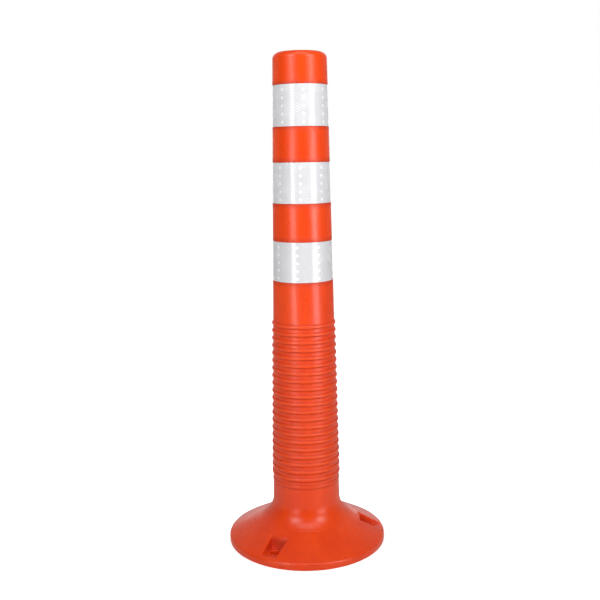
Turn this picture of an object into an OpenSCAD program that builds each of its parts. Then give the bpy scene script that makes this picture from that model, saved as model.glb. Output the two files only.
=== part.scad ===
// Flexible delineator post: one elastomer moulding with a bolt-down flange, a ribbed zone that bends,
// and an upper tube that carries three retroreflective bands.
// The moulding is divided where it bends, so that each ring of the ribbed zone can turn on the next.

/* [Tube] */
// Height of the whole post
post_h = 611; // [509:1:734]
// Outer diameter of the tube where it leaves the flange
tube_bottom_d = 85; // [71:0.5:102]
// Outer diameter of the tube at its closed top
tube_top_d = 65; // [54:0.5:78]
// Thickness of the moulded tube wall
wall = 4; // [3:0.1:6]
// Thickness of the closed top
top_t = 5; // [3:0.5:10]
// Radius of the rounded shoulder round the closed top
shoulder_r = 8; // [4:0.5:12]
// Rise of the crowned top over its shoulder
crown_h = 1.2; // [0.5:0.1:3]

/* [Ribbed zone] */
// Height of the lower edge of the ribbed zone
flex_bottom = 76.5; // [64:0.5:92]
// Plain tube between the ribbed zone and the lowest band
plain_below = 49.2; // [41:0.1:60]
// Number of rings that the ribbed zone is divided into
ring_n = 11; // [5:1:11]
// Ribs on each ring
ribs_per_ring = 2; // [1:1:2]
// Height of a rib over the tube
rib_h = 1.5; // [0.8:0.1:2.5]
// Width of a rib where it leaves the tube
rib_root_w = 4.8; // [4:0.1:5.8]
// Width of a rib at its crest
rib_crest_w = 2.4; // [1:0.1:3]
// Height of the faint lowest rib
last_rib_h = 0.5; // [0.3:0.1:1]

/* [Reflective bands] */
// Height of each band of sheeting
band_h = 48.5; // [40:0.5:60]
// Distance from the crown down to the first band
band_top_margin = 39.5; // [30:0.5:60]
// Distances from each band down to the next
band_gaps = [42, 46]; // [30:0.5:60]
// Thickness of the reflective sheeting
sheet_t = 0.6; // [0.4:0.1:0.8]
// Thickness of the adhesive under the sheeting
adhesive_t = 0.05; // [0.05:0.05:0.2]
// Depth of the recess that holds a band
recess_depth = 0.9; // [0.6:0.1:1.5]
// Gap from the edge of a band to the edge of its recess
recess_gap = 0.3; // [0.1:0.1:1]
// Gap where the two ends of the sheeting meet
butt_gap = 1.5; // [0.5:0.5:4]

/* [Flange] */
// Diameter of the flange
base_d = 200; // [186:1:240]
// Height at which the cone meets the rim
rim_h = 8; // [6:0.5:12]
// Radius of the rounded rim edge
rim_round = 3.5; // [2:0.5:5]
// Radius of the flare from the cone to the tube
flare_r = 30; // [22:1:36]
// Height at which the flare meets the tube
flare_top = 56.5; // [50:0.5:62]
// Thickness of the cone over the hollow underside
shell_t = 5; // [4:0.5:7]
// Width of the foot ring round the rim
foot_w = 8; // [6:0.5:12]
// Wall between the bore and the hollow underside
hub_w = 8; // [6:0.5:12]
// Thickness of the stiffening ribs under the cone
web_t = 4; // [3:0.5:6]
// Number of places for stiffening ribs under the cone
web_n = 12; // [6:3:15]

/* [Bolting] */
// Number of bolt pockets
bolt_n = 3; // [3:1:4]
// Diameter of the circle through the bolt holes
bolt_pcd = 160; // [133:1:166]
// Diameter of a bolt hole
bolt_hole_d = 12; // [8:0.5:14]
// Height of the pocket floor that a washer sits on
pocket_floor_h = 9.5; // [7.5:0.5:11.5]
// Width of the pocket floor
pocket_floor_w = 20; // [16.5:0.5:24]
// Width of the pocket at the height of its mouth
pocket_mouth_w = 22; // [20.5:0.5:26.5]
// Distance from a bolt hole's centre to the inner end of its pocket floor
seat_reach = 10; // [8:0.5:12]
// Land between the outer end of a pocket and the flange's edge
rim_land = 4.5; // [3.5:0.5:5.5]
// Distance by which the inner end wall leans back at the mouth
pocket_lean = 1; // [0.5:0.5:4]
// Material left beside and under a pocket
pocket_wall = 5; // [4:0.5:8]

/* [Hidden] */
$fn = 96;
orange = "orangered";
tape_white = "whitesmoke";
// Overrun that makes a cut pass clean through a face
cut = 1;
// Steps along each rounded stretch of an outline
arc_steps = 24;
base_r = base_d / 2;
ring_names = [for (i = [1:ring_n]) str("flex_ring_", i)];

// Draft of the tube: radius lost for each millimetre of height
draft = (tube_bottom_d - tube_top_d) / 2 / (post_h - flare_top);
draft_angle = atan(draft);

// Height of the upper edge of each band
band_tops = [
    post_h - band_top_margin,
    post_h - band_top_margin - band_h - band_gaps[0],
    post_h - band_top_margin - 2 * band_h - band_gaps[0] - band_gaps[1]
];

// The ribbed zone fills the height between the flange's collar and the plain tube under the bands
flex_top = band_tops[2] - band_h - plain_below;
ring_h = (flex_top - flex_bottom) / ring_n;
rib_pitch = ring_h / ribs_per_ring;

// Centre of the flare's arc, which is tangent to the tube and to the cone
flare_x = tube_r(flare_top) + flare_r * cos(draft_angle);
flare_z = flare_top + flare_r * sin(draft_angle);
to_centre = [flare_x - base_r, flare_z - rim_h];
cone_angle = 180 - atan2(to_centre[1], to_centre[0]) - asin(flare_r / norm(to_centre));

// Height of the cone over a bolt hole, where the pocket is as wide as its mouth
pocket_mouth_h = cone_z(bolt_pcd / 2);
pocket_inner = bolt_pcd / 2 - seat_reach;
pocket_outer = base_r - rim_land;

// Outer radius of the plain tube at height z
function tube_r(z) = tube_bottom_d / 2 - draft * (z - flare_top);

// Radius of the bore at height z
function bore_r(z) = tube_r(z) - wall;

// Height of the cone's surface at radius r
function cone_z(r) = rim_h + (base_r - r) * tan(cone_angle);

// Points along an arc about c, from angle a0 to angle a1
function arc(c, r, a0, a1) =
    [for (i = [0:arc_steps]) let (a = a0 + (a1 - a0) * i / arc_steps) c + r * [cos(a), sin(a)]];

// Outline of the flange's outside from the floor up to the tube, as radius and height
function flange_outline() =
    let (inset = rim_round * tan((90 - cone_angle) / 2))
    concat(
        [[0, 0], [base_r, 0]],
        arc([base_r - rim_round, rim_h - inset], rim_round, 0, 90 - cone_angle),
        arc([flare_x, flare_z], flare_r, 270 - cone_angle, 180 + draft_angle),
        [[tube_r(flex_bottom), flex_bottom], [0, flex_bottom]]
    );

module flange_solid() {
    rotate_extrude() polygon(flange_outline());
}

module bore(z0, z1) {
    rotate_extrude() polygon([[0, z0], [bore_r(z0), z0], [bore_r(z1), z1], [0, z1]]);
}

// Hollow under the cone, between the hub and the foot ring
module underside_hollow() {
    drop = shell_t / cos(cone_angle);
    hub_r = bore_r(0) + hub_w;
    foot_r = base_r - foot_w;
    rotate_extrude()
        polygon([
            [hub_r, -cut],
            [foot_r, -cut],
            [foot_r, cone_z(foot_r) - drop],
            [hub_r, cone_z(hub_r) - drop]
        ]);
}

// Radial webs under the cone, which are left out where a pocket stands
module webs() {
    for (i = [0:web_n - 1])
        if ((i * bolt_n) % web_n != 0)
            rotate([0, 0, i * 360 / web_n])
                translate([0, -web_t / 2, 0])
                    cube([base_r - foot_w / 2, web_t, flare_top]);
}

// Blocks of solid material that the bolt pockets are cut into
module pocket_blocks() {
    block_w = pocket_mouth_w + 2 * pocket_wall;
    for (i = [0:bolt_n - 1])
        rotate([0, 0, i * 360 / bolt_n])
            translate([0, -block_w / 2, 0])
                cube([base_r - foot_w / 2, block_w, flare_top]);
}

// Cutting shape of one bolt pocket: drafted side walls, a flat floor and an inner end wall that leans back
module pocket_cut() {
    side_slope = (pocket_mouth_w - pocket_floor_w) / 2 / (pocket_mouth_h - pocket_floor_h);
    top_half_w = pocket_floor_w / 2 + side_slope * (flare_top - pocket_floor_h);
    end_slope = pocket_lean / (pocket_mouth_h - pocket_floor_h);
    top_inner = pocket_inner - end_slope * (flare_top - pocket_floor_h);
    intersection() {
        rotate([90, 0, 90])
            linear_extrude(height = base_r)
                polygon([
                    [-pocket_floor_w / 2, pocket_floor_h],
                    [pocket_floor_w / 2, pocket_floor_h],
                    [top_half_w, flare_top],
                    [-top_half_w, flare_top]
                ]);
        translate([0, base_r / 2, 0])
            rotate([90, 0, 0])
                linear_extrude(height = base_r)
                    polygon([
                        [pocket_inner, pocket_floor_h],
                        [pocket_outer, pocket_floor_h],
                        [pocket_outer, flare_top],
                        [top_inner, flare_top]
                    ]);
    }
}

module bolt_cuts() {
    for (i = [0:bolt_n - 1])
        rotate([0, 0, i * 360 / bolt_n]) {
            pocket_cut();
            translate([bolt_pcd / 2, 0, -cut])
                cylinder(d = bolt_hole_d, h = pocket_floor_h + 2 * cut);
        }
}

module base_flange() {
    color(orange)
        difference() {
            flange_solid();
            bore(-cut, flex_bottom + cut);
            difference() {
                underside_hollow();
                webs();
                pocket_blocks();
            }
            bolt_cuts();
        }
}

// Outline points of one rib of height h over the tube, with its centre at height z
function rib_points(z, h) = [
    [tube_r(z - rib_root_w / 2), z - rib_root_w / 2],
    [tube_r(z - rib_crest_w / 2) + h, z - rib_crest_w / 2],
    [tube_r(z + rib_crest_w / 2) + h, z + rib_crest_w / 2],
    [tube_r(z + rib_root_w / 2), z + rib_root_w / 2]
];

// Height of rib j on ring i: all are alike but the lowest of all
function rib_height(i, j) = i == 1 && j == 0 ? last_rib_h : rib_h;

// Ring i of the ribbed zone, counted from the flange
module flex_ring(i) {
    z0 = flex_bottom + (i - 1) * ring_h;
    z1 = z0 + ring_h;
    ribs = [for (j = [0:ribs_per_ring - 1]) each rib_points(z0 + (j + 0.5) * rib_pitch, rib_height(i, j))];
    color(orange)
        rotate_extrude()
            polygon(concat(
                [[bore_r(z0), z0], [tube_r(z0), z0]],
                ribs,
                [[tube_r(z1), z1], [bore_r(z1), z1]]
            ));
}

// Outline of the closed upper tube without its recesses
function upper_outline() =
    let (shoulder_z = post_h - crown_h - shoulder_r)
    let (side_r = tube_r(shoulder_z))
    let (flat_r = side_r - shoulder_r)
    let (crown_r = (flat_r * flat_r + crown_h * crown_h) / (2 * crown_h))
    let (crown_a = asin(flat_r / crown_r))
    concat(
        [[0, flex_top], [tube_r(flex_top), flex_top]],
        arc([flat_r, shoulder_z], shoulder_r, 0, 90 - crown_a / 2),
        arc([0, post_h - crown_r], crown_r, 90 - crown_a * 0.98, 90)
    );

module band_recess(top) {
    z0 = top - band_h - recess_gap;
    z1 = top + recess_gap;
    rotate_extrude()
        polygon([
            [tube_r(z0) - recess_depth, z0],
            [tube_r(z0) + cut, z0],
            [tube_r(z1) + cut, z1],
            [tube_r(z1) - recess_depth, z1]
        ]);
}

module upper_tube() {
    color(orange)
        difference() {
            rotate_extrude() polygon(upper_outline());
            bore(flex_top - cut, post_h - crown_h - top_t);
            for (top = band_tops) band_recess(top);
        }
}

// A band of reflective sheeting, wrapped round the tube with its two ends meeting at the back
module band(top) {
    z0 = top - band_h;
    inner = recess_depth - adhesive_t;
    outer = inner - sheet_t;
    gap_angle = butt_gap / tube_r(top) * 180 / PI;
    color(tape_white)
        rotate([0, 0, 90 + gap_angle / 2])
            rotate_extrude(angle = 360 - gap_angle)
                polygon([
                    [tube_r(z0) - inner, z0],
                    [tube_r(z0) - outer, z0],
                    [tube_r(top) - outer, top],
                    [tube_r(top) - inner, top]
                ]);
}

base_flange();
for (i = [1:ring_n]) flex_ring(i);
upper_tube();
band(band_tops[0]);  // top_band
band(band_tops[1]);  // middle_band
band(band_tops[2]);  // bottom_band
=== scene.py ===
import math

import bpy
import numpy as np
from mathutils import Matrix, Vector

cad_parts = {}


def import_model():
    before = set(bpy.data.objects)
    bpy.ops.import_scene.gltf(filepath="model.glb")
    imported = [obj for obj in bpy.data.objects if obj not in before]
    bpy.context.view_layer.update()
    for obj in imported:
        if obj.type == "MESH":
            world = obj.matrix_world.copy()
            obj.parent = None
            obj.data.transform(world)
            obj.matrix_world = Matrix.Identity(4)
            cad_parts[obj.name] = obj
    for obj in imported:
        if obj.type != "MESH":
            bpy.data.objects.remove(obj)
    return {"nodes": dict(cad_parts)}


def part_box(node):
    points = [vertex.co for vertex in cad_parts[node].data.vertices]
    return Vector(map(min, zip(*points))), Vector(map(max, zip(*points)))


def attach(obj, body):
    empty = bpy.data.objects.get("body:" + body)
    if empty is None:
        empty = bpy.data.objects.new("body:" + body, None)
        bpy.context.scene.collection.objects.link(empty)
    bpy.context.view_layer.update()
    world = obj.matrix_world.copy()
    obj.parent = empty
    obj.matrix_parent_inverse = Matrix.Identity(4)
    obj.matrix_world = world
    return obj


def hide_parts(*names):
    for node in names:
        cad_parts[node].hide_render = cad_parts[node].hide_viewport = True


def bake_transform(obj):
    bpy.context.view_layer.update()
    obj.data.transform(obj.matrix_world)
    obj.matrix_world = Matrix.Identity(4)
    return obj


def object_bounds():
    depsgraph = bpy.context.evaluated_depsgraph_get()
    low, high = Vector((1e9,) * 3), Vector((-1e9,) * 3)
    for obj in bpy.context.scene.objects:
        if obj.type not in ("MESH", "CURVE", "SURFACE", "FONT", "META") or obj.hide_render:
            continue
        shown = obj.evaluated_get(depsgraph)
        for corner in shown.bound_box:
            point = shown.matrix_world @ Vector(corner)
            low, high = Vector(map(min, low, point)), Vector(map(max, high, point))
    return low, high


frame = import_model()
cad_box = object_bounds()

# The flexible delineator post's looks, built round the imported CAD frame. All lengths are in metres.
# Heights come from the frame's nodes; the other sizes repeat the named values of the CAD source.
MM = 0.001
FOOT = "foot"
POST_TOP = "post_top"
RING_N = len([name for name in frame["nodes"] if name.startswith("flex_ring_")])

# Tube
WALL = 4 * MM
TOP_T = 5 * MM
SHOULDER_R = 8 * MM
CROWN_H = 1.2 * MM
TUBE_BOTTOM_R = 42.5 * MM
TUBE_TOP_R = 32.5 * MM
POST_H = cad_box[1].z
FLARE_TOP = 56.5 * MM
DRAFT = (TUBE_BOTTOM_R - TUBE_TOP_R) / (POST_H - FLARE_TOP)

# Ribbed zone
FLEX_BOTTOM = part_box("flex_ring_1")[0].z
FLEX_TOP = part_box(f"flex_ring_{RING_N}")[1].z
RING_H = (FLEX_TOP - FLEX_BOTTOM) / RING_N
RIB_PITCH = RING_H / 2
RIB_H = 1.5 * MM
LAST_RIB_H = 0.5 * MM
RIB_ROOT_W = 4.8 * MM
RIB_CREST_W = 2.4 * MM
RIB_ROUND = 0.6 * MM
# Reach of the painted shade in the creases at the rib roots
RIB_ROOT_SHADE_REACH = 1.2 * MM

# Bands
RECESS_DEPTH = 0.9 * MM
RECESS_GAP = 0.3 * MM
ADHESIVE_T = 0.05 * MM
SHEET_T = 0.6 * MM
BUTT_GAP = 1.5 * MM
LIP_ROUND = 0.25 * MM
# Reach of the painted shade along the recess lips at the bands' edges
LIP_SHADE_REACH = 1.4 * MM

# Flange
BASE_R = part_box("base_flange")[1].x
RIM_H = 8 * MM
RIM_ROUND = 3.5 * MM
FOOT_ROUND = 0.8 * MM
FLARE_R = 30 * MM
SHELL_T = 5 * MM
FOOT_W = 8 * MM
HUB_W = 8 * MM
WEB_T = 4 * MM
WEB_PLACES = 12
WITNESS_STEP = 0.12 * MM

# Bolt pockets
BOLT_N = 3
BOLT_R = 80 * MM
HOLE_R = 6 * MM
HOLE_CHAMFER = 0.6 * MM
POCKET_FLOOR_H = 9.5 * MM
POCKET_FLOOR_W = 20 * MM
POCKET_MOUTH_W = 22 * MM
SEAT_REACH = 10 * MM
RIM_LAND = 4.5 * MM
POCKET_INNER = BOLT_R - SEAT_REACH
POCKET_OUTER = BASE_R - RIM_LAND
POCKET_LEAN = 1 * MM
POCKET_WALL = 5 * MM
POCKET_EDGE_ROUND = 1.2 * MM
POCKET_FLOOR_ROUND = 1.6 * MM
# Depth under the cone at which the painted shade in the bolt pockets is full
POCKET_SHADE_DEPTH = 7 * MM

# The hollow under the cone
HOLLOW_DRAFT = 0.07
HOLLOW_ROUND = 3 * MM

# Fineness of the meshes
AROUND = 176
LONGEST_STEP = 1.1 * MM
CORNER_STEPS = 4
SHOULDER_STEPS = 16
CROWN_STEPS = 14
FLARE_STEPS = 22
RIM_STEPS = 9
FOOT_STEPS = 3
COLUMNS_BETWEEN = 7
HALVINGS = 34
HOLE_PATCH_HALF = 7 * MM

# Differences smaller than these don't count
ON_AXIS = 1e-7
TINY = 1e-9

BAND_NODES = ("top_band", "middle_band", "bottom_band")


def tube_r(z):
    """Outer radius of the plain tube at height z."""
    return TUBE_BOTTOM_R - DRAFT * (z - FLARE_TOP)


def bore_r(z):
    """Radius of the bore at height z."""
    return tube_r(z) - WALL


# ---------------------------------------------------------------- outlines

def arc(centre, radius, start_deg, end_deg, steps):
    """Points (r, z) along an arc, both ends included."""
    angles = np.radians(np.linspace(start_deg, end_deg, steps + 1))
    return [(centre[0] + radius * math.cos(a), centre[1] + radius * math.sin(a)) for a in angles]


def rounded(points, reach):
    """The outline with each inner corner turned into a short curve that starts at most reach before it."""
    out = [points[0]]
    for before, corner, after in zip(points, points[1:], points[2:]):
        p, a, b = (np.array(q) for q in (corner, before, after))
        cut = min(reach, np.linalg.norm(a - p) / 2, np.linalg.norm(b - p) / 2)
        start = p + (a - p) / np.linalg.norm(a - p) * cut
        end = p + (b - p) / np.linalg.norm(b - p) * cut
        for t in np.linspace(0, 1, CORNER_STEPS + 1):
            out.append(tuple((1 - t) ** 2 * start + 2 * t * (1 - t) * p + t * t * end))
    out.append(points[-1])
    return out


def divided(points, longest):
    """The outline with extra points, so that no step is longer than longest."""
    out = [points[0]]
    for before, after in zip(points, points[1:]):
        length = math.dist(before, after)
        n = max(1, math.ceil(length / longest))
        a, b = np.array(before), np.array(after)
        if length > 0:
            out += [tuple(a + (b - a) * i / n) for i in range(1, n + 1)]
    return out


def stretch(*stops):
    """Values from stop to stop, each given as (value, number of steps to the next)."""
    out = []
    for (a, n), (b, _) in zip(stops, stops[1:]):
        out += list(np.linspace(a, b, n, endpoint=False))
    return out + [stops[-1][0]]


# ---------------------------------------------------------------- meshes

def make_object(name, points, faces, sharp_deg=38, **attributes):
    """A smooth-shaded mesh object. It keeps its place at rest, so that patterns bend with it."""
    mesh = bpy.data.meshes.new(name)
    mesh.from_pydata([tuple(p) for p in points], [], faces)
    mesh.validate()
    mesh.shade_smooth()
    mesh.set_sharp_from_angle(angle=math.radians(sharp_deg))
    place = mesh.attributes.new("rest_place", "FLOAT_VECTOR", "POINT")
    place.data.foreach_set("vector", np.asarray(points, np.float32).ravel())
    for key, values in attributes.items():
        values = np.asarray(values, np.float32)
        if values.ndim == 1:
            mesh.attributes.new(key, "FLOAT", "POINT").data.foreach_set("value", values)
        else:
            mesh.attributes.new(key, "FLOAT_VECTOR", "POINT").data.foreach_set("vector", values.ravel())
    obj = bpy.data.objects.new(name, mesh)
    bpy.context.scene.collection.objects.link(obj)
    return obj


def revolve(name, outline, closed, raised, grime):
    """Turns an outline of (r, z) points about the post's axis. A point on the axis becomes one vertex.
    The first function gives the height over the tube, which the material turns into rib-crest wear and a
    painted highlight; the second gives the painted shade; both from 0 to 1 at each point of the outline."""
    angles = np.linspace(0, 2 * math.pi, AROUND, endpoint=False)
    points, rings, raised_out, grime_out = [], [], [], []
    for r, z in outline:
        here = [(0.0, 0.0, z)]
        if r > ON_AXIS:
            here = [(r * math.cos(a), r * math.sin(a), z) for a in angles]
        rings.append(range(len(points), len(points) + len(here)))
        points += here
        raised_out += [raised(r, z)] * len(here)
        grime_out += [grime(r, z)] * len(here)
    faces = []
    pairs = list(zip(rings, rings[1:])) + ([(rings[-1], rings[0])] if closed else [])
    for low, high in pairs:
        if len(low) == len(high) == 1:
            continue
        for j in range(AROUND):
            k = (j + 1) % AROUND
            if len(low) == 1:
                faces.append((low[0], high[k], high[j]))
            elif len(high) == 1:
                faces.append((low[j], low[k], high[0]))
            else:
                faces.append((low[j], low[k], high[k], high[j]))
    return make_object(name, points, faces, raised=raised_out, grime=grime_out)


def nearness(z, heights, reach):
    """1 at any of the heights, falling to 0 at the distance reach from all of them."""
    return max([0.0] + [1 - abs(z - h) / reach for h in heights])


# ---------------------------------------------------------------- ribbed zone

def rib_points(z, height):
    """Outline of one rib over the tube, with its centre at height z."""
    return [
        (tube_r(z - RIB_ROOT_W / 2), z - RIB_ROOT_W / 2),
        (tube_r(z - RIB_CREST_W / 2) + height, z - RIB_CREST_W / 2),
        (tube_r(z + RIB_CREST_W / 2) + height, z + RIB_CREST_W / 2),
        (tube_r(z + RIB_ROOT_W / 2), z + RIB_ROOT_W / 2),
    ]


def flex_skin(number):
    """The moulding from the middle of one ring to the middle of the next, with the joint at its middle."""
    joint_z = FLEX_BOTTOM + (number - 1) * RING_H
    z0, z1 = joint_z - RING_H / 2, joint_z + RING_H / 2
    outside = [(tube_r(z0), z0)]
    roots = []
    for step in (-0.5, 0.5):
        z = joint_z + step * RIB_PITCH
        if FLEX_BOTTOM < z < FLEX_TOP:
            outside += rib_points(z, LAST_RIB_H if number == 1 else RIB_H)
            roots += [z - RIB_ROOT_W / 2, z + RIB_ROOT_W / 2]
    outside.append((tube_r(z1), z1))
    outside = divided(rounded(outside, RIB_ROUND), LONGEST_STEP)
    inside = divided([(bore_r(z1), z1), (bore_r(z0), z0)], 2 * LONGEST_STEP)

    def raised(r, z):
        return max(0.0, (r - tube_r(z)) / RIB_H)

    # Painted shade: the creases at the rib roots are painted darker
    def grime(r, z):
        return nearness(z, roots, RIB_ROOT_SHADE_REACH)

    return revolve(f"flex_skin_{number:02d}", outside + inside, True, raised, grime)


# ---------------------------------------------------------------- upper tube

def upper_tube():
    """The closed tube with its crowned top and the three shallow recesses that hold the bands."""
    bottom = FLEX_TOP + RING_H / 2
    side = [(tube_r(bottom), bottom)]
    lips = []
    for node in reversed(BAND_NODES):
        low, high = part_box(node)
        z0, z1 = low.z - RECESS_GAP, high.z + RECESS_GAP
        side += [
            (tube_r(z0), z0),
            (tube_r(z0) - RECESS_DEPTH, z0),
            (tube_r(z1) - RECESS_DEPTH, z1),
            (tube_r(z1), z1),
        ]
        lips += [z0, z1]
    shoulder_z = POST_H - CROWN_H - SHOULDER_R
    side.append((tube_r(shoulder_z), shoulder_z))
    flat_r = tube_r(shoulder_z) - SHOULDER_R
    crown_r = (flat_r ** 2 + CROWN_H ** 2) / (2 * CROWN_H)
    crown_deg = math.degrees(math.asin(flat_r / crown_r))
    shoulder = arc((flat_r, shoulder_z), SHOULDER_R, 0, 90 - crown_deg / 2, SHOULDER_STEPS)
    crown = arc((0, POST_H - crown_r), crown_r, 90 - crown_deg * 0.98, 90, CROWN_STEPS)
    crown[-1] = (0.0, POST_H)
    ceiling = POST_H - CROWN_H - TOP_T
    inside = [(0.0, ceiling), (bore_r(ceiling), ceiling), (bore_r(bottom), bottom)]
    outline = divided(rounded(side, LIP_ROUND), 6 * LONGEST_STEP) + shoulder[1:] + crown
    outline += divided(rounded(inside, 3 * LIP_ROUND), 12 * LONGEST_STEP)

    def raised(r, z):
        return 0.0

    # Painted shade: thin dark lines along the recess lips at the bands' edges
    def grime(r, z):
        return nearness(z, lips, LIP_SHADE_REACH)

    return revolve("moulded_tube", outline, True, raised, grime)


# ---------------------------------------------------------------- flange

to_centre_x = tube_r(FLARE_TOP) + FLARE_R * math.cos(math.atan(DRAFT))
to_centre_z = FLARE_TOP + FLARE_R * math.sin(math.atan(DRAFT))
CONE_ANGLE = (
    math.pi
    - math.atan2(to_centre_z - RIM_H, to_centre_x - BASE_R)
    - math.asin(FLARE_R / math.hypot(to_centre_x - BASE_R, to_centre_z - RIM_H))
)
CONE_FOOT_R = to_centre_x - FLARE_R * math.sin(CONE_ANGLE)


def cone_z(r):
    """Height of the cone's surface at radius r."""
    return RIM_H + (BASE_R - r) * math.tan(CONE_ANGLE)


def smooth_max(a, b, k):
    """The larger of a and b, with the corner between them rounded over k."""
    h = np.maximum(k - np.abs(a - b), 0) / k
    return np.maximum(a, b) + h * h * k / 4


def smooth_min(a, b, k):
    """The smaller of a and b, with the corner between them rounded over k."""
    return -smooth_max(-a, -b, k)


def columns():
    """The flange's columns, as (from angle, from offset, to angle, to offset, share).
    They run parallel beside the pockets and the webs, so that every wall follows the mesh's edges.
    The offsets, in mm, are closest together at the pocket's side walls and at the sides of its block."""
    patch_mm = HOLE_PATCH_HALF / MM
    pocket_half = stretch((0, 6), (patch_mm, 14), (13.2, 3), (15.6, 7), (18.2, 1), (19.0, 0))
    pocket_half = np.array(pocket_half) * MM
    web_half = np.array([0, 0.8, 1.6, 1.9, 2.2, 2.6, 3.1, 3.6, 4.4]) * MM
    zones = []
    for i in range(WEB_PLACES):
        half = pocket_half if i % (WEB_PLACES // BOLT_N) == 0 else web_half
        zones.append((i * 2 * math.pi / WEB_PLACES, np.concatenate([-half[:0:-1], half])))
    out = []
    for i, (angle, offsets) in enumerate(zones):
        next_angle, next_offsets = zones[(i + 1) % WEB_PLACES]
        if i == WEB_PLACES - 1:
            next_angle += 2 * math.pi
        out += [(angle, y, angle, y, 0.0) for y in offsets]
        for n in range(1, COLUMNS_BETWEEN):
            out.append((angle, offsets[-1], next_angle, next_offsets[0], n / COLUMNS_BETWEEN))
    return np.array(out)


COLUMNS = columns()
HUB_R = bore_r(0) + HUB_W
FOOT_R = BASE_R - FOOT_W


def column_angles(r):
    """Angle of each column at radius r."""
    r = max(r, HUB_R)
    a0, y0, a1, y1, share = COLUMNS.T
    return (1 - share) * (a0 + np.arcsin(y0 / r)) + share * (a1 + np.arcsin(y1 / r))


def pocket_offset(r, angles):
    """Sideways distance of each column from the middle line of the nearest bolt pocket."""
    sector = 2 * math.pi / BOLT_N
    turned = (angles + sector / 2) % sector - sector / 2
    return np.abs(r * np.sin(turned))


def top_height(r, z, angles):
    """Height of the flange's top at radius r, with the pockets sunk into the outline's height z."""
    y = pocket_offset(r, angles)
    mouth_h = cone_z(BOLT_R) - POCKET_FLOOR_H
    side_slope = (POCKET_MOUTH_W - POCKET_FLOOR_W) / 2 / mouth_h
    end_slope = POCKET_LEAN / mouth_h
    side_cos = math.cos(math.atan(side_slope))
    end_cos = math.cos(math.atan(end_slope))
    low = np.full_like(y, POCKET_FLOOR_H - POCKET_FLOOR_ROUND)
    high = np.full_like(y, z + POCKET_EDGE_ROUND)
    for _ in range(HALVINGS):
        mid = (low + high) / 2
        up = mid - POCKET_FLOOR_H
        past_side = (y - POCKET_FLOOR_W / 2 - up * side_slope) * side_cos
        past_inner = (POCKET_INNER - up * end_slope - r) * end_cos
        past_outer = r - POCKET_OUTER - up * end_slope / 2
        void = smooth_max(-up, past_side, POCKET_FLOOR_ROUND)
        void = smooth_max(void, past_inner, POCKET_FLOOR_ROUND)
        void = smooth_max(void, past_outer, POCKET_FLOOR_ROUND)
        outside = smooth_max((mid - z) * math.cos(CONE_ANGLE), -void, POCKET_EDGE_ROUND) > 0
        high = np.where(outside, mid, high)
        low = np.where(outside, low, mid)
    return (low + high) / 2


def hollow_height(r, angles):
    """Height of the hollow under the cone at radius r: nothing under the foot ring, hub, webs and pockets."""
    height = np.full_like(angles, cone_z(r) - SHELL_T / math.cos(CONE_ANGLE))
    block_half = POCKET_MOUTH_W / 2 + POCKET_WALL
    walls = [r - HUB_R, FOOT_R - r, pocket_offset(r, angles) - block_half]
    for i in range(WEB_PLACES):
        if i % (WEB_PLACES // BOLT_N):
            turned = angles - i * 2 * math.pi / WEB_PLACES
            beside = np.abs(r * np.sin(turned)) - WEB_T / 2
            walls.append(np.where(np.cos(turned) > 0, beside, 1.0))
    for wall in walls:
        height = smooth_min(height, wall / HOLLOW_DRAFT, HOLLOW_ROUND)
    return np.maximum(height, 0.0)


def rows_between(rings, first, low, high):
    """Numbers of the rings from first onwards whose radius lies between low and high."""
    return [i for i in range(first, len(rings)) if low - TINY <= rings[i][0] <= high + TINY]


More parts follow.
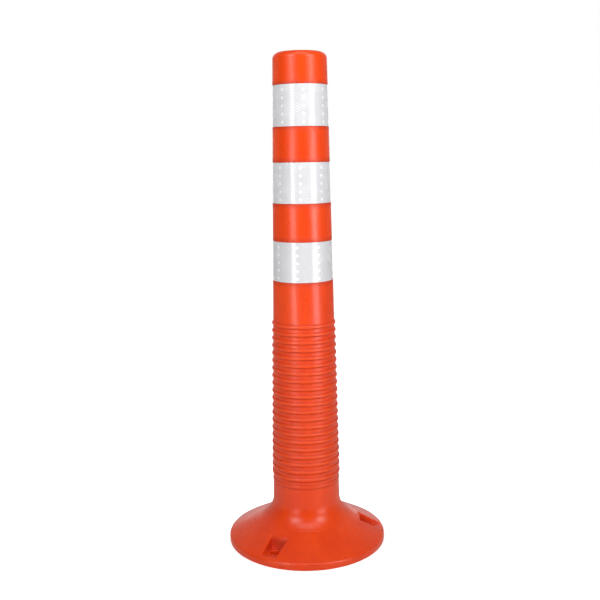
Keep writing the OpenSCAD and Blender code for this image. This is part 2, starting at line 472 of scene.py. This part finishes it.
def flange():
    """The bolt-down flange with its collar: one closed grid of rings, opened only at the bolt holes."""
    seam = FLEX_BOTTOM - RING_H / 2
    patch = (BOLT_R - HOLE_PATCH_HALF, BOLT_R + HOLE_PATCH_HALF)
    rim_inset = RIM_ROUND * math.tan((math.pi / 2 - CONE_ANGLE) / 2)
    cone_deg = math.degrees(CONE_ANGLE)
    draft_deg = math.degrees(math.atan(DRAFT))
    collar = divided([(tube_r(seam), seam), (tube_r(FLARE_TOP), FLARE_TOP)], 2 * LONGEST_STEP)
    flare = arc((to_centre_x, to_centre_z), FLARE_R, 180 + draft_deg, 270 - cone_deg, FLARE_STEPS)
    witness_r = CONE_FOOT_R + 0.2 * MM
    witness = [(witness_r, cone_z(witness_r) - WITNESS_STEP)]
    rim = arc((BASE_R - RIM_ROUND, RIM_H - rim_inset), RIM_ROUND, 90 - cone_deg, 0, RIM_STEPS)
    cone_rows = stretch(
        (CONE_FOOT_R + 0.8 * MM, 6), (POCKET_INNER - 4 * MM, 18), (patch[0], 12), (patch[1], 8),
        (POCKET_OUTER - 2 * MM, 10), (rim[0][0], 1),
    )
    cone = [(r, cone_z(r)) for r in cone_rows]
    rings = []
    for r, z in collar + flare[1:] + witness:
        rings.append((r, np.full(len(COLUMNS), z)))
    grime = np.zeros((len(rings), len(COLUMNS)))
    for r, z in cone:
        height = top_height(r, z, column_angles(r))
        rings.append((r, height))
        # Painted shade: the deeper a point lies under the cone, the darker the pocket is painted
        grime = np.vstack([grime, np.clip((z - height) / POCKET_SHADE_DEPTH, 0, 1)])
    top_patch = rows_between(rings, len(collar) + 1, *patch)
    for r, z in rim[1:]:
        rings.append((r, np.full(len(COLUMNS), z)))
    for r, z in arc((BASE_R - FOOT_ROUND, FOOT_ROUND), FOOT_ROUND, 0, -90, FOOT_STEPS):
        rings.append((r, np.full(len(COLUMNS), z)))
    under_rows = stretch(
        (bore_r(0) + FOOT_ROUND, 4), (HUB_R, 10), (HUB_R + 3 * MM, 8), (patch[0], 12), (patch[1], 3),
        (FOOT_R - 2 * MM, 7), (FOOT_R + 0.3 * MM, 3), (BASE_R - 2 * FOOT_ROUND, 0),
    )[::-1]
    under_start = len(rings)
    for r in under_rows:
        rings.append((r, hollow_height(r, column_angles(r))))
    under_patch = rows_between(rings, under_start, *patch)
    for r, z in divided([(bore_r(0), FOOT_ROUND), (bore_r(seam), seam)], 6 * LONGEST_STEP):
        rings.append((r, np.full(len(COLUMNS), z)))

    n = len(COLUMNS)
    points = []
    for r, z in rings:
        a = column_angles(r)
        points += list(zip(r * np.cos(a), r * np.sin(a), z))
    in_patch = []
    for k, (angle, offset, _, _, share) in enumerate(COLUMNS):
        at_pocket = round(angle / (2 * math.pi) * BOLT_N, 6) % 1 == 0
        if share == 0 and at_pocket and abs(offset) <= HOLE_PATCH_HALF + TINY:
            in_patch.append(k)
    per_pocket = len(in_patch) // BOLT_N
    blocks = [in_patch[i * per_pocket:(i + 1) * per_pocket] for i in range(BOLT_N)]
    skipped = set()
    for rows in (top_patch, under_patch):
        for block in blocks:
            skipped |= {(row, col) for row in rows[:-1] for col in block[:-1]}
    faces = []
    for i in range(len(rings)):
        i2 = (i + 1) % len(rings)
        for j in range(n):
            j2 = (j + 1) % n
            if (i, j) not in skipped:
                faces.append((i * n + j, i2 * n + j, i2 * n + j2, i * n + j2))
    for number, block in enumerate(blocks):
        centre = 2 * math.pi * number / BOLT_N
        bolt_hole(points, faces, top_patch, under_patch, block, n, centre)
    shade_values = np.zeros(len(points))
    shade_values[:grime.size] = grime.ravel()
    return make_object("moulded_flange", points, faces, raised=np.zeros(len(points)), grime=shade_values)


def patch_edge(rows, block, n):
    """Vertices round the edge of a patch, in order."""
    first, last = rows[0], rows[-1]
    loop = [first * n + c for c in block]
    loop += [r * n + block[-1] for r in rows[1:]]
    loop += [last * n + c for c in reversed(block[:-1])]
    loop += [r * n + block[0] for r in reversed(rows[1:-1])]
    return loop


def bolt_hole(points, faces, top_rows, under_rows, block, n, angle):
    """Fills the two patches round one bolt hole, and makes the hole's wall and its two chamfers."""
    cx, cy = BOLT_R * math.cos(angle), BOLT_R * math.sin(angle)
    top = patch_edge(top_rows, block, n)
    under = patch_edge(list(reversed(under_rows)), block, n)
    directions = []
    for v in top:
        a = math.atan2(points[v][1] - cy, points[v][0] - cx)
        directions.append((math.cos(a), math.sin(a)))
    levels = [
        (HOLE_R + HOLE_CHAMFER, POCKET_FLOOR_H),
        (HOLE_R, POCKET_FLOOR_H - HOLE_CHAMFER),
        (HOLE_R, HOLE_CHAMFER),
        (HOLE_R + HOLE_CHAMFER, 0.0),
    ]
    loops = [top]
    for radius, z in levels:
        start = len(points)
        points += [(cx + radius * dx, cy + radius * dy, z) for dx, dy in directions]
        loops.append(list(range(start, len(points))))
    loops.append(under)
    for a, b in zip(loops, loops[1:]):
        for k in range(len(a)):
            k2 = (k + 1) % len(a)
            faces.append((a[k], a[k2], b[k2], b[k]))


# ---------------------------------------------------------------- reflective bands

LATTICE_W = 6.2 * MM
LATTICE_H = 3.3 * MM
EMBOSS = 0.05 * MM
RIDGE_START = 0.72
BAND_AROUND = 560
BAND_ROWS = 126


def lattice_ridge(u, v):
    """How near a point of the sheet is to a line of the diamond lattice, from 0 to 1."""
    lines = []
    for sign in (1, -1):
        phase = (u / LATTICE_W + sign * v / LATTICE_H) % 1.0
        lines.append(np.abs(phase - 0.5) * 2)
    return np.clip((np.maximum(*lines) - RIDGE_START) / (1 - RIDGE_START), 0, 1)


def band(node):
    """A strip of sheeting wrapped round the tube, with rounded edges and its two ends meeting at the back."""
    low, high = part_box(node)
    z0, z1 = low.z, high.z
    edge = SHEET_T * 0.3
    inner = RECESS_DEPTH - ADHESIVE_T
    gap = BUTT_GAP / tube_r(z1)
    angles = np.linspace(math.pi / 2 + gap / 2, math.pi * 5 / 2 - gap / 2, BAND_AROUND)
    heights = np.linspace(z0 + edge, z1 - edge, BAND_ROWS)
    loop = [(inner, z0 + edge), (inner - edge / 3, z0 + edge / 3), (inner - edge, z0)]
    loop += [(inner - SHEET_T + edge, z0), (inner - SHEET_T + edge / 3, z0 + edge / 3)]
    first = len(loop)
    loop += [(inner - SHEET_T, z) for z in heights]
    last = len(loop)
    loop += [(inner - SHEET_T + edge / 3, z1 - edge / 3), (inner - SHEET_T + edge, z1)]
    loop += [(inner - edge, z1), (inner - edge / 3, z1 - edge / 3), (inner, z1 - edge)]
    depth, z = np.array(loop).T
    u = (angles - math.pi / 2) * tube_r((z0 + z1) / 2)
    ridge = np.zeros((BAND_AROUND, len(loop)))
    ridge[:, first:last] = lattice_ridge(u[:, None], heights[None, :] - z0)
    radius = tube_r(z)[None, :] - depth[None, :] + ridge * EMBOSS
    x, y = radius * np.cos(angles)[:, None], radius * np.sin(angles)[:, None]
    points = np.stack([x, y, np.broadcast_to(z, x.shape)], -1).reshape(-1, 3)
    sheet = np.stack([np.broadcast_to(u[:, None], x.shape), np.broadcast_to(z - z0, x.shape), 0 * x], -1)
    m = len(loop)
    faces = []
    for i in range(BAND_AROUND - 1):
        for j in range(m):
            j2 = (j + 1) % m
            faces.append((i * m + j, (i + 1) * m + j, (i + 1) * m + j2, i * m + j2))
    faces.append(tuple(range(m)))
    faces.append(tuple((BAND_AROUND - 1) * m + j for j in reversed(range(m))))
    return make_object(f"tape_{node}", points, faces, sheet_place=sheet.reshape(-1, 3))


# ---------------------------------------------------------------- materials

def add_node(tree, kind, inputs=None, **settings):
    """A node with its settings made and its inputs linked or filled in."""
    node = tree.nodes.new(kind)
    for key, value in settings.items():
        setattr(node, key, value)
    for key, value in (inputs or {}).items():
        if isinstance(value, bpy.types.NodeSocket):
            tree.links.new(value, node.inputs[key])
        else:
            node.inputs[key].default_value = value
    return node


def calc(tree, operation, *values):
    """The result of a Math node."""
    return add_node(tree, "ShaderNodeMath", dict(enumerate(values)), operation=operation).outputs[0]


def remap(tree, value, from_low, from_high, to_low, to_high, smooth=False):
    """The value moved from one range to another, and kept inside it."""
    inputs = {0: value, 1: from_low, 2: from_high, 3: to_low, 4: to_high}
    kind = "SMOOTHSTEP" if smooth else "LINEAR"
    return add_node(tree, "ShaderNodeMapRange", inputs, interpolation_type=kind).outputs[0]


def mix_colour(tree, factor, a, b):
    """The colour a where factor is 0, and b where it is 1."""
    inputs = {0: factor, 6: a, 7: b}
    return add_node(tree, "ShaderNodeMix", inputs, data_type="RGBA").outputs[2]


def noise(tree, place, scale, detail=2.0, roughness=0.5):
    """The value of a Noise Texture node, from 0 to 1. Its grains are about 1 / scale metres wide."""
    inputs = {"Vector": place, "Scale": scale, "Detail": detail, "Roughness": roughness}
    return add_node(tree, "ShaderNodeTexNoise", inputs).outputs[0]


def new_material(name):
    """A new material, its node tree and its Principled shader."""
    material = bpy.data.materials.new(name)
    material.use_nodes = True
    tree = material.node_tree
    return material, tree, tree.nodes["Principled BSDF"]


def read_attribute(tree, name, output):
    """The named output of an Attribute node that reads one of the mesh's attributes."""
    return add_node(tree, "ShaderNodeAttribute", attribute_name=name).outputs[output]


ORANGE_DEEP = (0.86, 0.054, 0.002, 1)
ORANGE_LIGHT = (0.93, 0.071, 0.003, 1)
ORANGE_SPECK = (0.72, 0.036, 0.002, 1)
# Lighter orange of the rib-crest wear and painted highlight
ORANGE_CREST_WEAR_AND_HIGHLIGHT = (0.95, 0.10, 0.012, 1)
ORANGE_PIT = (0.42, 0.03, 0.006, 1)
# Dark orange of the painted shade in creases, along recess lips and in pockets
ORANGE_PAINTED_SHADE = (0.45, 0.012, 0.001, 1)


def orange_elastomer():
    """Moulded orange polyurethane: satin, slightly mottled, with a fine grain and faint flow marks."""
    material, tree, shader = new_material("orange_elastomer")
    place = read_attribute(tree, "rest_place", "Vector")
    raised = read_attribute(tree, "raised", "Fac")
    grime = read_attribute(tree, "grime", "Fac")
    stretched = add_node(tree, "ShaderNodeVectorMath", {0: place, 1: (1.0, 1.0, 0.22)}, operation="MULTIPLY")
    broad = noise(tree, stretched.outputs[0], 26.0, 3.0, 0.55)
    mottle = noise(tree, place, 170.0, 4.0, 0.6)
    grain = noise(tree, place, 1500.0, 2.0, 0.6)
    scuffs = noise(tree, place, 420.0, 1.0, 0.5)

    tone = remap(tree, broad, 0.35, 0.65, 0.0, 1.0)
    colour = mix_colour(tree, tone, ORANGE_DEEP, ORANGE_LIGHT)
    speck = remap(tree, mottle, 0.42, 0.72, 0.0, 0.25)
    colour = mix_colour(tree, speck, colour, ORANGE_SPECK)
    # Rib-crest wear and painted highlight: the rib crests are painted lighter
    crest_wear_and_highlight = calc(tree, "MULTIPLY", raised, remap(tree, mottle, 0.35, 0.6, 0.15, 0.5))
    colour = mix_colour(tree, crest_wear_and_highlight, colour, ORANGE_CREST_WEAR_AND_HIGHLIGHT)
    pit = remap(tree, scuffs, 0.72, 0.80, 0.0, 0.35)
    colour = mix_colour(tree, pit, colour, ORANGE_PIT)
    # Painted shade: darkens the orange in the rib-root creases, along the recess lips and inside the bolt
    # pockets, and makes them rougher
    shade_amount = calc(tree, "MULTIPLY", grime, remap(tree, mottle, 0.3, 0.6, 0.35, 0.6))
    colour = mix_colour(tree, shade_amount, colour, ORANGE_PAINTED_SHADE)
    tree.links.new(colour, shader.inputs["Base Color"])

    dull = remap(tree, mottle, 0.3, 0.7, 0.24, 0.34)
    dull = calc(tree, "ADD", dull, calc(tree, "MULTIPLY", grime, 0.2))
    dull = calc(tree, "ADD", dull, calc(tree, "MULTIPLY", grain, 0.06))
    tree.links.new(dull, shader.inputs["Roughness"])

    waves = noise(tree, stretched.outputs[0], 75.0, 2.0, 0.5)
    bump = add_node(tree, "ShaderNodeBump", {"Height": waves, "Strength": 0.35, "Distance": 0.0012})
    inputs = {"Height": grain, "Strength": 0.5, "Distance": 0.00008, "Normal": bump.outputs[0]}
    bump = add_node(tree, "ShaderNodeBump", inputs)
    tree.links.new(bump.outputs[0], shader.inputs["Normal"])
    shader.inputs["Specular IOR Level"].default_value = 0.5
    return material


GLINT_COLUMNS = 8
GLINT_PITCH = 9.4 * MM
GLINT_R = 2.3 * MM

FILM_SHADE = (0.735, 0.735, 0.76, 1)
FILM_LIGHT = (0.785, 0.785, 0.81, 1)
FILM_LINE = (0.50, 0.51, 0.54, 1)
FILM_SPARKLE = (0.90, 0.90, 0.92, 1)
FILM_GLINT = (0.98, 0.98, 0.98, 1)


def from_cell_middle(tree, value, cell, shift=0.0):
    """Distance of the value from the middle of its cell, in a row of cells of that width."""
    place = calc(tree, "DIVIDE", value, cell)
    if shift:
        place = calc(tree, "ADD", place, shift)
    centred = calc(tree, "SUBTRACT", calc(tree, "FRACT", place), 0.5)
    return calc(tree, "MULTIPLY", centred, cell)


def reflective_sheeting():
    """White prismatic sheeting: a pearly film over a lattice of tiny prisms, with a fine painted sparkle and
    rows of painted glints.
    """
    material, tree, shader = new_material("reflective_sheeting")
    sheet = add_node(tree, "ShaderNodeSeparateXYZ", {0: read_attribute(tree, "sheet_place", "Vector")})
    place = read_attribute(tree, "rest_place", "Vector")
    u, v = sheet.outputs[0], sheet.outputs[1]
    across, up = calc(tree, "DIVIDE", u, LATTICE_W), calc(tree, "DIVIDE", v, LATTICE_H)
    lines = []
    for operation in ("ADD", "SUBTRACT"):
        phase = calc(tree, "FRACT", calc(tree, operation, across, up))
        centred = calc(tree, "SUBTRACT", phase, 0.5)
        lines.append(calc(tree, "MULTIPLY", calc(tree, "ABSOLUTE", centred), 2.0))
    line = remap(tree, calc(tree, "MAXIMUM", *lines), 0.78, 0.92, 0.0, 1.0, True)

    circumference = 2 * math.pi * tube_r(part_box("middle_band")[1].z)
    # Painted glints: round whiter spots in rows and columns, standing in for light caught by the prismatic
    # cells
    du = from_cell_middle(tree, u, circumference / GLINT_COLUMNS, 0.5)
    dv = from_cell_middle(tree, v, GLINT_PITCH)
    squares = calc(tree, "ADD", calc(tree, "MULTIPLY", du, du), calc(tree, "MULTIPLY", dv, dv))
    away = calc(tree, "SQRT", squares)
    glint = remap(tree, away, GLINT_R * 0.6, GLINT_R, 1.0, 0.0, True)

    cloud = noise(tree, place, 45.0, 2.0, 0.5)
    sparkle = noise(tree, place, 1300.0, 1.0, 0.5)
    tone = remap(tree, cloud, 0.35, 0.65, 0.0, 1.0)
    colour = mix_colour(tree, tone, FILM_SHADE, FILM_LIGHT)
    colour = mix_colour(tree, calc(tree, "MULTIPLY", line, 0.6), colour, FILM_LINE)
    # Painted sparkle: fine lighter specks in the film's colour
    colour = mix_colour(tree, remap(tree, sparkle, 0.55, 0.7, 0.0, 0.3), colour, FILM_SPARKLE)
    colour = mix_colour(tree, calc(tree, "MULTIPLY", glint, 0.9), colour, FILM_GLINT)
    tree.links.new(colour, shader.inputs["Base Color"])
    tree.links.new(remap(tree, cloud, 0.3, 0.7, 0.2, 0.32), shader.inputs["Roughness"])
    bump = add_node(tree, "ShaderNodeBump", {"Height": sparkle, "Strength": 0.4, "Distance": 0.00008})
    tree.links.new(bump.outputs[0], shader.inputs["Normal"])
    shader.inputs["Sheen Weight"].default_value = 0.6
    shader.inputs["Sheen Roughness"].default_value = 0.6
    shader.inputs["Coat Weight"].default_value = 0.5
    shader.inputs["Coat Roughness"].default_value = 0.12
    return material


def pale_floor():
    """Plain pale studio floor that glows from within, so that it stays white away from the post. Its glow is
    dimmed under and round the flange, so the soft shadow there is partly rendered and partly painted.
    """
    material, tree, shader = new_material("pale_floor")
    place = add_node(tree, "ShaderNodeTexCoord").outputs["Object"]
    cloud = noise(tree, place, 3.0, 2.0, 0.5)
    colour = mix_colour(tree, cloud, (0.78, 0.78, 0.78, 1), (0.82, 0.82, 0.82, 1))
    tree.links.new(colour, shader.inputs["Base Color"])
    shader.inputs["Roughness"].default_value = 0.7
    away = add_node(tree, "ShaderNodeVectorMath", {0: place}, operation="LENGTH").outputs["Value"]
    # Painted shadow: the glow is weaker under and round the flange
    glow = remap(tree, away, BASE_R * 0.88, BASE_R * 1.25, 0.45, 1.0, True)
    seen = add_node(tree, "ShaderNodeLightPath").outputs["Is Camera Ray"]
    tree.links.new(calc(tree, "MULTIPLY", glow, seen), shader.inputs["Emission Strength"])
    shader.inputs["Emission Color"].default_value = (1, 1, 1, 1)
    return material


# ---------------------------------------------------------------- studio

SENSOR_MM = 36
LENS_MM = 51.16
CAMERA_AWAY = 1.0481
CAMERA_H = 0.4905
CAMERA_YAW_DEG = 0.232
CAMERA_DOWN_DEG = 9.699
CAMERA_ROLL_RAD = -0.0166


def camera():
    """The camera as it was fitted to the photograph, turned and rolled a little."""
    data = bpy.data.cameras.new("camera")
    data.sensor_width = SENSOR_MM
    data.lens = LENS_MM
    data.clip_start = 0.05
    data.clip_end = 50
    obj = bpy.data.objects.new("camera", data)
    turn = (
        Matrix.Rotation(math.radians(CAMERA_YAW_DEG), 4, "Z")
        @ Matrix.Rotation(math.pi / 2 - math.radians(CAMERA_DOWN_DEG), 4, "X")
        @ Matrix.Rotation(CAMERA_ROLL_RAD, 4, "Z")
    )
    obj.matrix_world = Matrix.Translation((0, -CAMERA_AWAY, CAMERA_H)) @ turn
    bpy.context.scene.collection.objects.link(obj)
    bpy.context.scene.camera = obj


def softbox(name, place, aim, width, height, power, spread_deg=180):
    """A rectangular soft light that the camera doesn't see. A spread under 180 degrees is a grid over it."""
    data = bpy.data.lights.new(name, "AREA")
    data.shape = "RECTANGLE"
    data.size = width
    data.size_y = height
    data.energy = power
    data.spread = math.radians(spread_deg)
    obj = bpy.data.objects.new(name, data)
    direction = Vector(aim) - Vector(place)
    turn = direction.to_track_quat("-Z", "Y").to_matrix().to_4x4()
    obj.matrix_world = Matrix.Translation(place) @ turn
    obj.visible_camera = False
    bpy.context.scene.collection.objects.link(obj)


PANEL_AWAY = 1.5
OVERHEAD_PLACE = (0, -0.9, 2.3)
OVERHEAD_W = 1.8
OVERHEAD_L = 1.0
OVERHEAD_POWER = 14.0


def lights():
    """Two tall gridded strips in front, two panels over them, two behind and one overhead."""
    # Name, degrees round from the front, height, height aimed at, width, length, power, spread in degrees
    panels = (
        ("strip_left", -34, 0.42, 0.68, 0.30, 0.85, 0.82, 60),
        ("strip_right", 49, 0.42, 0.68, 0.40, 0.85, 1.2, 60),
        ("upper_left", -38, 1.25, 0.10, 0.40, 0.6, 9.5, 180),
        ("upper_right", 46, 1.25, 0.10, 0.40, 0.6, 9.5, 180),
        ("back_left", -164, 0.62, 0.30, 0.30, 1.3, 2.0, 180),
        ("back_right", 164, 0.62, 0.30, 0.30, 1.3, 2.0, 180),
    )
    for name, degrees, z, aim_z, width, length, power, spread_deg in panels:
        a = math.radians(degrees)
        place = (math.sin(a) * PANEL_AWAY, -math.cos(a) * PANEL_AWAY, z)
        softbox(name, place, (0, 0, aim_z), width, length, power, spread_deg)
    middle = (0, 0, POST_H / 2)
    softbox("overhead", OVERHEAD_PLACE, middle, OVERHEAD_W, OVERHEAD_L, OVERHEAD_POWER)


WORLD_FRONT = 0.02
WORLD_BACK = 0.35


def world():
    """A dim surround, brighter behind the post where the backdrop is. The camera sees it as white."""
    made = bpy.data.worlds.new("studio")
    made.use_nodes = True
    tree = made.node_tree
    tree.nodes.clear()
    seen = add_node(tree, "ShaderNodeBackground", {"Color": (1, 1, 1, 1), "Strength": 1.0})
    direction = add_node(tree, "ShaderNodeTexCoord").outputs["Generated"]
    back = add_node(tree, "ShaderNodeSeparateXYZ", {0: direction}).outputs["Y"]
    strength = remap(tree, back, -0.2, 0.7, WORLD_FRONT, WORLD_BACK, True)
    lit = add_node(tree, "ShaderNodeBackground", {"Color": (1, 1, 1, 1), "Strength": strength})
    path = add_node(tree, "ShaderNodeLightPath")
    inputs = {0: path.outputs["Is Camera Ray"], 1: lit.outputs[0], 2: seen.outputs[0]}
    both = add_node(tree, "ShaderNodeMixShader", inputs)
    add_node(tree, "ShaderNodeOutputWorld", {"Surface": both.outputs[0]})
    bpy.context.scene.world = made


FLOOR_R = 7.0
FLOOR_SIDES = 96
FLOOR_Z = -0.1 * MM


def floor():
    """A round pale floor, a hair under the flange."""
    angles = np.linspace(0, 2 * math.pi, FLOOR_SIDES, endpoint=False)
    rim = [(FLOOR_R * math.cos(a), FLOOR_R * math.sin(a), FLOOR_Z) for a in angles]
    obj = make_object("floor", rim, [tuple(range(FLOOR_SIDES))])
    obj.data.materials.append(pale_floor())


# ---------------------------------------------------------------- assembly

def finish_piece(obj, material, slot, *nodes):
    """Gives a piece its material, and hides the CAD nodes that it stands for. The slot argument is not used.
    """
    obj.data.materials.append(material)
    if nodes:
        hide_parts(*nodes)


def build():
    """Makes every visible piece, and ties the flange, the upper tube and the bands to the body that each
    moves with.
    """
    orange = orange_elastomer()
    sheeting = reflective_sheeting()

    foot = flange()
    finish_piece(foot, orange, "orange_elastomer", "base_flange")
    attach(foot, FOOT)

    for number in range(1, RING_N + 2):
        skin = flex_skin(number)
        nodes = [f"flex_ring_{number}"] if number <= RING_N else []
        finish_piece(skin, orange, "orange_elastomer", *nodes)
        joint_z = FLEX_BOTTOM + (number - 1) * RING_H
        start, end = (0, 0, joint_z - RING_H / 2), (0, 0, joint_z + RING_H / 2)
        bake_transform(skin)
        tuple(start)
        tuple(end)

    tube = upper_tube()
    finish_piece(tube, orange, "orange_elastomer", "upper_tube")
    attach(tube, POST_TOP)

    for node in BAND_NODES:
        tape = band(node)
        finish_piece(tape, sheeting, "reflective_sheeting", node)
        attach(tape, POST_TOP)


camera()
lights()
world()
floor()
build()
bpy.context.scene.view_settings.view_transform = "Standard"
